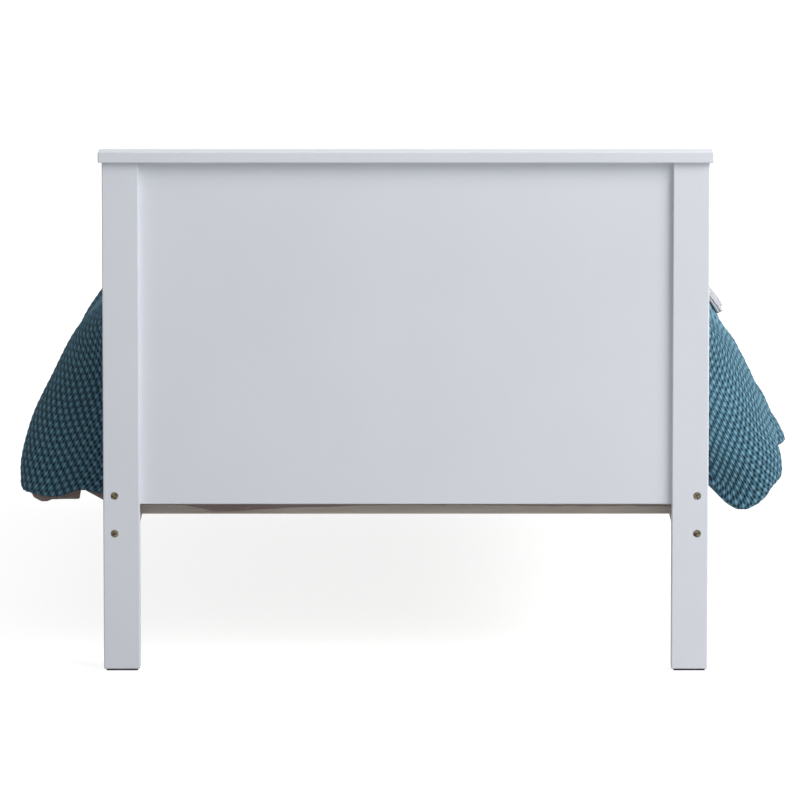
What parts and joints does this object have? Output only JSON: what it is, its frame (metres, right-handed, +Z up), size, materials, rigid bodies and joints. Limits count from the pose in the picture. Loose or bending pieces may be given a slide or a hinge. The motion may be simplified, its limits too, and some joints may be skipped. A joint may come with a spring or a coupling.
{
  "type": "single bed",
  "caption": "Single bed with a tall white panel headboard, a low foot end, bolted side rails and pine slats, made up with a mattress, quilt, moss-stitch coverlet, throw and pillow.",
  "frame": {"origin": "on the floor, under the middle of the bed's box", "axes": "+Z up, +Y from the head end to the foot end, +X to the right as seen from behind the headboard"},
  "size_m": [1.2981, 2.034, 0.864],
  "materials": {
    "white_paint": "satin paint",
    "bare_pine": "unfinished",
    "beech_dowel": "unfinished",
    "zinc_plate": "darkened yellow zinc plate",
    "felt_pad": "felt",
    "mattress_cloth": "woven ticking",
    "blush_cotton": "woven cotton",
    "teal_knit": "moss-stitch knit",
    "white_rib_cotton": "ribbed cotton",
    "white_pillow_cotton": "woven cotton"
  },
  "bodies": {
    "frame": {"head_post_left": "white_paint", "head_post_right": "white_paint", "head_panel": "white_paint", "head_cap": "white_paint", "foot_post_left": "white_paint", "foot_post_right": "white_paint", "foot_panel": "white_paint", "foot_cap": "white_paint", "side_rail_left": "white_paint", "side_rail_right": "white_paint", "slat_cleat_left": "bare_pine", "slat_cleat_right": "bare_pine", "slat_01": "bare_pine", "slat_02": "bare_pine", "slat_03": "bare_pine", "slat_04": "bare_pine", "slat_05": "bare_pine", "slat_06": "bare_pine", "slat_07": "bare_pine", "slat_08": "bare_pine", "slat_09": "bare_pine", "slat_10": "bare_pine", "slat_11": "bare_pine", "slat_12": "bare_pine", "slat_13": "bare_pine", "slat_14": "bare_pine", "rail_dowels": "beech_dowel", "cap_dowels": "beech_dowel", "rail_bolts": "zinc_plate", "barrel_nuts": "zinc_plate", "slat_screws": "zinc_plate", "cleat_screws": "zinc_plate", "foot_glides": "felt_pad"},
    "bedding": {"mattress": "mattress_cloth", "quilt": "blush_cotton", "coverlet": "teal_knit", "foot_throw": "white_rib_cotton"},
    "pillow": {"pillow": "white_pillow_cotton"}
  },
  "joints": [
    {"name": "mattress_lift", "type": "slide", "parent": "frame", "child": "bedding", "axis": [0, 0, 1], "range_m": [0, 0.6]},
    {"name": "pillow_lift", "type": "slide", "parent": "bedding", "child": "pillow", "axis": [0, 0, 1], "range_m": [0, 0.3]}
  ]
}
